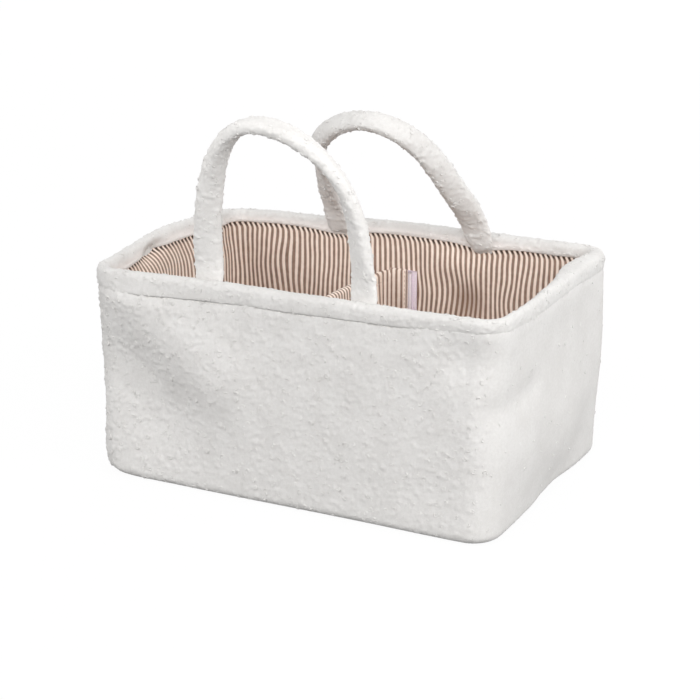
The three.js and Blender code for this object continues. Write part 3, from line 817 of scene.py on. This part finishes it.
def makeRim(rim):
    top, inner, face, proud = box["height"], box["innerSeam"], box["rimFace"], rim["proud"]
    low = box["outerSeam"] + outerCloth["creaseUp"]
    outside = [(1.8, low + 4), (0.5, low + 0.7), (-0.2, low + 0.2), (-proud, low + 1.2), (-proud, low + 5)]
    outside += [(-proud, top - 6), (0.2, top - 2.0), (2.6, top + 0.2), (7.4, top + 0.2), (face - 0.6, top - 2.3)]
    outside += [(face + 0.1, top - 6.5), (face + 0.1, inner + 4), (face - 0.3, inner + 0.1), (face - 2.2, inner + 0.2)]
    outside = spaced(rounded(outside + [(box["liningFace"] - 0.7, inner + 2.5)], 2), rim["step"])
    inside = [(8.2, inner + 7), (8.1, top - 3.4), (4, top - 3), (1.4, top - 3.4), (1.9, low + 8)]
    section = np.vstack([outside, inside])
    inset, z = section.T
    stations, out, rings = wallSkin(section, rim["step"])
    sink = (rim["sink"] - rim["sinkLess"] * ramp(z, low, low + 6)) * (1 - ramp(inset, 0.5, 3))
    rings -= out * (creaseFade(rings, out) * sink)[..., None]
    swell = np.sin(math.pi * np.clip((z - low) / (top - low), 0, 1)) * (1 - ramp(inset, 2, 5))
    rings += out * (creaseShare(rings, out) * swell * rim["puff"])[..., None]
    rings[..., 2] += seamShift(rings) * ramp(inset, 6, 10) * ramp(inner + 12 - z, 0, 12)
    rings += innerLean(rings) * ramp(inset, 3, 10)[:, None]
    gate = hump(rings[..., 0], rim["gateMiddle"], rim["gate"], 4) * (np.abs(rings[..., 1]) > 90) * ramp(inset, 8, 10.5)
    rings += out * (gate * rim["gateDepth"])[..., None]
    rings = soften(rings)
    outSize, upSize = rim["slackSizes"]
    rings += out * (softNoise(rings, outSize, 7) * rim["slack"])[..., None]
    rings[..., 2] += softNoise(rings, upSize, 8) * rim["slack"]
    shown = np.concatenate([np.ones(len(outside)), np.zeros(len(inside))])
    shown[:3] = shown[len(outside) - 3 : len(outside)] = 0.3
    x, y, _ = axes(rings)
    dented = hump(y, rim["dentPlace"][0], 17) * (x < -140)  # the dent and the right wall get none of the painted light and keep the walls' tone
    paintedLightInside = ramp(inset, 6, 10) * ramp(top - 2 - z, 0, 9) * shown * (1 - ramp(x, 100, 150)) * (1 - dented)
    marks = {"nap": shown * (1 - 0.8 * gate), "inside": paintedLightInside}
    mesh = ringMesh("rim_roll", rings, stations["along"] / stripe, mapRound(section), marks=marks)
    piece = nubbed(mesh, *rim["nubs"], ivoryPile)
    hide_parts("rim_band")
    return piece, curled("rim_curls", piece, rim["curlSeed"])


def rimLine(inset, z):
    _, out, rings = wallSkin([(inset, z)], seamLines["step"], inset)
    if inset < box["liningFace"]:  # the outer seam
        sink, more = rimRoll["threadSink"]
        rings -= out * (sink + more * creaseFade(rings, out))[..., None]
    else:
        rings[..., 2] += seamShift(rings)
        rings += innerLean(rings)
    return soften(rings)[:, 0]


# lining

lining = dict(
    step=1.2, rowStep=4.2,
    stripes=227,  # whole stripes round the inside
    ripple=1.1, rippleSize=38.0,
    sway=4.6, swaySize=48.0, wobble=1.1, wobbleSize=16.0,  # how the stripes wander sideways
    rumples=[  # soft folds: place, reach and push into the box or back
        ((48, 112, 150), (24, 30, 13), -4.0),
        ((56, 112, 119), (17, 30, 13), 3.0),
        ((20, 112, 132), (9, 30, 40), -2.5),
        ((-92, 112, 120), (12, 30, 45), -3.0),
    ],
    pleat=0.5,  # puckers under the rim, one to a stripe
    pleatReach=5.0,
    cloth=0.9,
    hookLean=2.4,  # sideways pull of each stripe's top end
    hookReach=3.2,
    drifts=[  # where the stripes are pulled aside under the rim: place, reach and pull
        ((-178, -15, 170), (30, 72, 15), 14.0),
        ((-92, 112, 172), (34, 30, 45), -5.0),
    ],
)


def makeWallLining(cloth):
    top, face, step = box["innerSeam"], box["liningFace"], cloth["rowStep"]
    back = face - cloth["cloth"]
    upper = spaced([(face - 0.6, top + 3.5), (face - 0.1, top), (face, top - 12)], 1.1)
    lower = spaced([(face, top - 12), (face, 12), (face + 1.5, 8.4)], step)[1:]
    behind = spaced([(face + 1.2, 7.6), (back, 9), (back, top - 4), (back - 0.6, top + 3)], step)
    section = np.vstack([upper, lower, behind])
    stations = wallStations(cloth["step"], face)
    rings, out = wallRings(stations, section), stations["out"]
    run = stations["along"] / stations["total"] * cloth["stripes"]
    below = np.clip(top - section[:, 1], 0, None)
    x, y, z = axes(rings)
    taped = hump(x, 0, 20) * (np.abs(y) > 100) * (z < 150)
    free = ramp(below, 0, 25) * (1 - ramp(below, 140, 160)) * (1 - 0.85 * taped)
    ripple = softNoise(rings * (1, 1, 0.45), cloth["rippleSize"], 5)
    ripple = ripple + 0.6 * softNoise(rings, cloth["rippleSize"] * 0.5, 6)
    stray = softNoise(rings * (1, 1, 0.75), cloth["swaySize"], 9) * ramp(below, 0, 40) * cloth["sway"]
    stray = stray + softNoise(rings * (1, 1, 0.8), cloth["wobbleSize"], 10) * ramp(below, 0, 20) * cloth["wobble"]
    for place, reach, pull in cloth["drifts"]:
        stray = stray + bell(rings, place, reach) * pull
    stray = -stray / stripe
    pleat = np.cos(2 * math.pi * (run[:-1, None] + stray)) * np.exp(-below / cloth["pleatReach"])
    rings = rings + out * (ripple * free * cloth["ripple"] + pleat * cloth["pleat"])[..., None]
    for place, reach, push in cloth["rumples"]:
        rings[..., 1] += bell(rings, place, reach) * push
    hook = hump(below, 0, cloth["hookReach"]) * cloth["hookLean"]
    rings += np.stack([-out[..., 1], out[..., 0], out[..., 2]], -1) * hook[:, None]
    rings[..., 2] += seamShift(rings) * ramp(section[:, 1], top - 45, top - 2)
    rings = soften(rings + innerLean(rings))
    # The 'tuck' mark paints shade on the lining's top few millimetres, under the rim.
    marks = {"tuck": ramp(4.6 - below, 0, 2.2)}
    mesh = ringMesh("wall_lining_cloth", rings, run, mapRound(section), marks=marks, stray=stray)
    piece = placed(mesh, stripedTicking, "wall_lining")
    return piece


floorLow, floorHigh = ((corner / mm).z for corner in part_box("floor_lining"))
floorCloth = dict(inset=box["liningFace"] + 0.3, low=floorLow, high=floorHigh, rows=40, wave=0.25, seed=15)
baseCloth = dict(inset=10.3, low=0.05, high=2.5, rows=60, wave=0.0, seed=0)
panelForm = dict(step=4.0, spine=70, crowding=1.3, edge=0.2, waveSize=45)


# A flat panel with the walls' outline, closed top and bottom.
def makePanel(name, node, material, panel, form=panelForm):
    inset, low, high = panel["inset"], panel["low"], panel["high"]
    outline = wallRings(wallStations(form["step"], inset), [(inset, low)])[:, 0, :2]
    spine = np.stack([np.clip(outline[:, 0], -form["spine"], form["spine"]), outline[:, 1] * 0], 1)
    share = (1 - (1 - np.linspace(0, 1, panel["rows"])) ** form["crowding"])[:, None, None]
    plan = outline * (1 - share) + spine * share
    upper, lower = (np.concatenate([plan, np.full((*plan.shape[:2], 1), z)], -1) for z in (high, low))
    upper[0, :, 2], upper[1, :, 2] = (low + high) / 2, high - form["edge"]
    rings = np.concatenate([upper[::-1], lower[1:]])
    wave = softNoise(rings, form["waveSize"], panel["seed"]) * panel["wave"]
    rings[..., 2] += wave * (rings[..., 2] > (low + high) / 2)
    mesh = ringMesh(name, rings, closedAlong=False)
    corners = np.zeros(len(mesh.loops), np.int32)
    mesh.loops.foreach_get("vertex_index", corners)
    flat = rings.reshape(-1, 3)[corners, :2] / stripe
    mesh.uv_layers["cloth"].data.foreach_set("uv", flat.astype(np.float32).ravel())
    return placed(mesh, material, node)


# handles

strap = dict(
    spacing=140.0,
    rise=133.0,
    fullness=2.2,  # of the arch
    twistAt=(0, 10, 36, 66, 100, 126, 192),  # run from either end
    twist=(0, 2, 16, 32, 46, 60, 98),
    width=(24.0, 18.8),  # at the ends and at the crown
    thickAt=(0, 4, 10, 28, 64, 122, 188),
    thick=(2.4, 3.2, 6.0, 8.6, 13.2, 12.6, 11.8),
    sectionFullness=2.5,
    startUp=4.5,
    hinge=(106.1, 190.6),  # distance from the middle and height of the fold
    foot=162.5,  # lower end, caught behind the lining
    tuckAt=(0, 4, 6.5, 10, 20, 30),  # run from the end, and how far the strap lies back from its line there
    tuck=(9.0, 8.4, 4.8, 2.6, 0.5, 0),
    endWidth=0.7, step=1.5, sides=44, mapAround=13, bendSmooth=12.0, slack=0.35,
    blendReach=(9, 17),  # below and above the hinge
    nubs=(1.9, 1.3),
)
strayAt = (0, 0.05, 0.18, 0.34, 0.5, 0.66, 0.82, 0.95, 1)
handles = dict(  # lean, and how far each soft arch strays from its pattern, from left to right
    front=dict(
        side=-1, middle=-7.0, lean=10.7, footShift=(0, 0), seed=51,
        sideways=(0, 0.6, 5.2, 6.6, 3.3, 6.6, 3.0, 0.5, 0),
        upwards=(0, 2.2, 15.4, 12.0, -2.0, -6.7, 1.6, 0.2, 0),
    ),
    back=dict(
        side=1, middle=0.0, lean=39.4, footShift=(2, 8), seed=61,
        sideways=(0, 0.5, 3.5, -12.7, -2.4, 1.0, -7.4, -4.2, -3.6),
        upwards=(0, 0.9, 6.0, -12.8, 3.4, -2.5, -0.4, 0, 0),
    ),
)


def swollen(value, fullness):
    return np.sign(value) * np.abs(value) ** (2 / fullness)


def blurred(values, width):
    reach = int(width * 3)
    kernel = np.exp(-0.5 * (np.arange(-reach, reach + 1) / width) ** 2)
    kernel /= kernel.sum()
    before, after = 2 * values[:1] - values[reach:0:-1], 2 * values[-1:] - values[-2 : -reach - 2 : -1]
    padded = np.concatenate([before, values, after])
    return np.stack([np.convolve(column, kernel, "valid") for column in padded.T], 1)


def strapRings(handle):
    side, start = handle["side"], strap["startUp"]
    angle = np.linspace(math.pi, 0, 2000)
    across = swollen(np.cos(angle), strap["fullness"]) * strap["spacing"] / 2
    upwards = start + swollen(np.sin(angle), strap["fullness"]) * (strap["rise"] - start)
    arch = np.stack([across, np.zeros_like(angle), upwards], 1)
    share = runLength(arch) / runLength(arch)[-1]
    arch[:, 0] += smoothCurve(strayAt, handle["sideways"], share)
    arch[:, 2] += smoothCurve(strayAt, handle["upwards"], share)
    tip = math.radians(handle["lean"])
    lift = np.array([[1, 0, 0], [0, math.cos(tip), -math.sin(tip)], [0, math.sin(tip), math.cos(tip)]])
    hingeY, hingeZ = strap["hinge"]
    origin = np.array([handle["middle"], side * hingeY, hingeZ])
    arch = arch @ lift.T + origin
    stem = np.linspace(strap["foot"], hingeZ - 0.5, 40)
    down = (stem[-1] - stem) / (stem[-1] - stem[0])
    left, right = (
        np.stack([arch[end, 0] + down * handle["footShift"][end], np.full_like(stem, origin[1]), stem], 1)
        for end in (0, -1)
    )
    line = spaced(np.vstack([left, arch, right[::-1]]), 1.0)
    line = spaced(blurred(line, strap["bendSmooth"]), strap["step"])
    along = unit(np.gradient(line, axis=0))
    leaned = ramp((line - origin) @ lift[:, 2], -12, 14)[:, None]
    inside = -side * ((1 - leaned) * (0, 1, 0) + leaned * lift[:, 1])
    inside = unit(inside - (inside * along).sum(1)[:, None] * along)
    towards = side * np.cross(along, inside)  # to the middle of the arch
    run = runLength(line)
    fromEnd = np.minimum(run, run[-1] - run)
    turn = np.radians(blurred(np.interp(fromEnd, strap["twistAt"], strap["twist"])[:, None], 5))
    flat = towards * np.cos(turn) + inside * np.sin(turn)
    face = np.cross(along, flat)
    thick = blurred(np.interp(fromEnd, strap["thickAt"], strap["thick"])[:, None], 3)
    wide = np.interp(fromEnd, (25, run[-1] / 2), strap["width"]) * (1 + 0.02 * softNoise(line, 30, 12))
    wide = wide * (strap["endWidth"] + (1 - strap["endWidth"]) * ramp(fromEnd, 2, 22))
    theta = np.linspace(0, 2 * math.pi, strap["sides"], endpoint=False)
    wideWays = swollen(np.cos(theta), strap["sectionFullness"]) * wide[:, None] / 2
    thickWays = swollen(np.sin(theta), strap["sectionFullness"]) * thick / 2
    rings = line[:, None, :] + flat[:, None, :] * wideWays[..., None] + face[:, None, :] * thickWays[..., None]
    rings[..., 1] += (side * np.interp(fromEnd, strap["tuckAt"], strap["tuck"]))[:, None]
    rings += softNoise(rings, 24, 14)[..., None] * strap["slack"] * face[:, None, :]
    return rings, run, origin, lift[:, 2]


def makeHandle(name, handle, pile):
    rings, run, origin, upward = strapRings(handle)
    around = np.linspace(0, strap["mapAround"], strap["sides"] + 1)
    mesh = ringMesh(name + "_strap", rings, run / stripe, around, closedAlong=False, marks={"nap": 1.0})
    piece = nubbed(mesh, handle["seed"], *strap["nubs"], pile)
    curls = curled(name + "_curls", piece, handle["seed"] + 1)
    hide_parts(*(name + end for end in ("_sleeve", "_core", "_left_root", "_right_root")))
    for each in (piece, curls):
        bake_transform(each)


# divider

divider = dict(
    middle=-24.0, thickness=8.0, neck=4.0, bendRadius=8.0, panelEnd=98.8, low=8.4, high=140.4, step=1.6, puff=0.8,
    fold=-14.0, tip=1.0, flapMiddle=106.8, flapThickness=4.0, flapStep=0.9, flapHem=2.6, flapRise=2.4,
    crown=4.5,  # the soft top stands this much higher at the middle
    lean=8.0,  # its stripes lean this far at the top
    hem=5.0,  # from the top edge to its stitches
    edgeRows=7,  # rows round its top and bottom edges
)


# A soft upright sheet: a plan line with a half thickness at each point becomes closed tall rings.
def uprightRings(line, half, low, high, rowStep):
    along = unit(np.gradient(line, axis=0))
    side = np.stack([along[:, 1], -along[:, 0]], 1)
    half = half[:, None]
    rows = np.linspace(0, 1, max(6, int((high - low) / rowStep)))
    bend = np.linspace(0, math.pi, divider["edgeRows"] + 2)[1:-1]
    one, none = np.ones(len(rows)), np.zeros(len(rows))
    offset = np.concatenate([one, np.cos(bend), -one, -np.cos(bend)])
    rise = np.concatenate([rows, np.ones(len(bend)), rows[::-1], np.zeros(len(bend))])
    bulge = np.concatenate([none, np.sin(bend), none, -np.sin(bend)])
    z = low + half + rise * (high - low - 2 * half) + bulge * half
    plan = line[:, None, :] + side[:, None, :] * (offset * half)[..., None]
    return np.concatenate([plan, z[..., None]], -1), rise, offset


def dividerLine(d):
    end, middle = d["panelEnd"], d["middle"]
    back = arc(d["fold"], end, d["bendRadius"], np.linspace(math.pi / 2, math.pi, 14))
    back = np.array(back + [(middle + 1.2, end - 5), (middle + 0.3, end - 12), (middle, end - 20)])
    return spaced(np.vstack([back, back[::-1] * (1, -1)]), d["step"])


def makeDivider(d):
    line = dividerLine(d)
    run, high = runLength(line), d["high"]
    fromEnd = np.minimum(run, run[-1] - run)
    half = d["neck"] / 2 + (d["thickness"] - d["neck"]) / 2 * ramp(fromEnd, 9, 26)
    rings, rise, offset = uprightRings(line, half, d["low"], high, 3.2)
    swell = np.sin(math.pi * np.clip(rise, 0, 1)) ** 0.6 * ramp(fromEnd, 12, 45)[:, None]
    rings[..., 0] -= np.sign(offset) * d["puff"] * swell * (softNoise(rings, 34, 21) * 0.6 + 0.5)
    rings[..., 0] += softNoise(rings * (1, 1, 0.6), 60, 22) * ramp(fromEnd, 15, 50)[:, None]
    crown = d["crown"] * np.sin(math.pi * run / run[-1]) ** 2 + 0.5 * softNoise(rings[:, 0], 40, 23)
    rings[..., 2] += crown[:, None] * ramp(rings[..., 2], 60, high)
    lean = -d["lean"] / stripe * ramp(rings[..., 2], 60, high + 4) ** 1.5 * ramp(fromEnd, 4, 30)[:, None]
    around = mapRound(rings[len(run) // 2])
    mesh = ringMesh("divider_panel", rings, run / stripe, around, closedAlong=False, stray=lean)
    piece = placed(mesh, dividerTicking, "divider_cover", "divider_foam")
    rows = len(offset) // 2 - d["edgeRows"]
    seam = int(round((1 - d["hem"] / (high - d["low"])) * (rows - 1)))
    otherSeam = 2 * rows + d["edgeRows"] - 1 - seam
    lines = [rings[fromEnd > 16, row] + (lift, 0, 0) for row, lift in ((seam, -0.1), (otherSeam, 0.1))]
    rideAll("divider", "ticking", piece, stitched("divider_stitches", lines, creamThread, "divider"))
    return run[-1] / stripe


def makeFlap(name, body, side, startStripe):
    d = divider
    x = np.arange(d["fold"] - 1.6, d["tip"] + 0.01, d["flapStep"])
    line = np.stack([x, np.full_like(x, side * d["flapMiddle"])], 1)
    half = d["flapThickness"] / 2 * (1.04 - 0.16 * ramp(x, d["fold"], d["tip"]))
    half *= 0.55 + 0.45 * ramp(d["tip"] - x, -0.4, 2.5)
    rings, _, offset = uprightRings(line, half, d["low"] + 0.2, d["high"] + d["flapRise"], 3.4)
    mesh = ringMesh(name + "_tab", rings, startStripe + (x - d["fold"]) / stripe, closedAlong=False)
    piece = placed(mesh, dividerTicking, name)
    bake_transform(piece)
    line = rings[np.argmin(np.abs(x - d["tip"] + d["flapHem"])), offset == side] - (0, side * 0.1, 0)
    rideAll(body, "ticking", stitched(name + "_stitches", [line], creamThread, "flap"))


# hook-and-loop tape

tapeLoops = dict(
    material=lilacLoop, slot="loop_tape", seed=71,
    grow=(-1.6, 0, 1.6),  # wider and taller than the node
    faces=1,  # into the box
    yarn=yarnOf(420000.0, 0.0005, 0.00013, 1.2, 0.0),
)
tapeHooks = dict(
    material=paleHook, slot="hook_tape", seed=81,
    grow=(3.6, 0, 1.6),
    faces=-1,  # to the wall
    yarn=yarnOf(260000.0, 0.00042, 0.00015, 1.3, 0.0),
)
tapeStep, tapeHem = 1.4, 1.5


def makeTape(name, node, body, tape):
    low, high = (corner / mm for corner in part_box(node))
    high += Vector(tape["grow"])
    middle, size = (low + high) / 2, high - low
    wide, thick = size.x / 2, size.y / 2
    profile = rounded([(-wide, -thick), (wide, -thick), (wide, thick), (-wide, thick)], 3, closed=True)
    profile = spaced(np.vstack([profile, profile[:1]]), tapeStep)[:-1]
    z = spaced([(low.z,), (high.z,)], 2.0)[:, 0]
    rings = np.zeros((len(z), len(profile), 3))
    rings[..., :2] = profile + (middle.x, middle.y)
    rings[..., 2] = z[:, None]
    mesh = ringMesh(name, rings, z / stripe, closedAlong=False, marks={"nap": 1.0})
    piece = placed(mesh, tape["material"], node)
    faces = -math.copysign(1, middle.y) * tape["faces"]
    shown = lambda x, y: (y - middle.y) * faces > thick * 0.6
    fuzz = curled(name.replace("strip", "pile"), piece, tape["seed"], shown, tape["yarn"])
    left, right, bottom, top = low.x + tapeHem, high.x - tapeHem, low.z + tapeHem, high.z - tapeHem
    path = [(left, bottom), (right, bottom), (right, top), (left, top), (left, bottom + 1)]
    line = spaced([(x, middle.y + faces * (thick + 0.05), z) for x, z in path], 1.0)
    sewn = stitched(name.replace("strip", "stitches"), [line], ivoryThread, "tape")
    rideAll(body, tape["slot"], piece, fuzz, sewn)


# building

makeCamera(photoCamera)
makeStudio(studio)
print("camera, lamps and floor")

outerPiece, wallCurls = makeOuterCloth(outerCloth)
rimPiece, rimCurls = makeRim(rimRoll)
rideAll("caddy_body", "napped_cloth", outerPiece, rimPiece, *wallCurls, rimCurls)
print("walls: outer cloth and rim")

liningPiece = makeWallLining(lining)
floorPiece = makePanel("floor_lining_cloth", "floor_lining", stripedTicking, floorCloth)
basePiece = makePanel("base_cloth", "base_panel", ivoryPile, baseCloth)
rideAll("caddy_body", "ticking", liningPiece, floorPiece)
rideAll("caddy_body", "napped_cloth", basePiece)
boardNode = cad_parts["base_board"]
boardNode.data.materials.clear()
boardNode.data.materials.append(pressedBoard)
print("lining, floor and base")

for end, handle in handles.items():
    makeHandle(end + "_handle", handle, handlePilesPaintedLight[end])
print("handles")

stripesAcross = makeDivider(divider)
makeFlap("front_flap", "front_divider_flap", -1, stripesAcross)
makeFlap("back_flap", "back_divider_flap", 1, 0)
for end in ("front", "back"):
    makeTape(end + "_loop_strip", end + "_loop_tape", "caddy_body", tapeLoops)
    makeTape(end + "_hook_strip", end + "_hook_tape", end + "_divider_flap", tapeHooks)
print("divider, flaps and tapes")

outerLine = rimLine(-seamLines["proud"], box["outerSeam"] + seamLines["outerUp"])
innerLine = rimLine(box["rimFace"] + seamLines["proud"], box["innerSeam"] + seamLines["innerUp"])
floorInset = seamLines["floorInset"]
floorStations = wallStations(seamLines["floorStep"], floorInset)
floorLine = wallRings(floorStations, [(floorInset, floorHigh + seamLines["floorUp"])])[:, 0]
outerSeam = stitched("rim_outer_stitches", [outerLine], ivoryThread, "rimOuter", True)
innerSeam = stitched("rim_inner_stitches", [innerLine], ivoryThread, "rimInner", True)
rideAll("caddy_body", "napped_cloth", outerSeam, innerSeam)
rideAll("caddy_body", "ticking", stitched("floor_stitches", [floorLine], creamThread, "floor", True))
print("stitches")
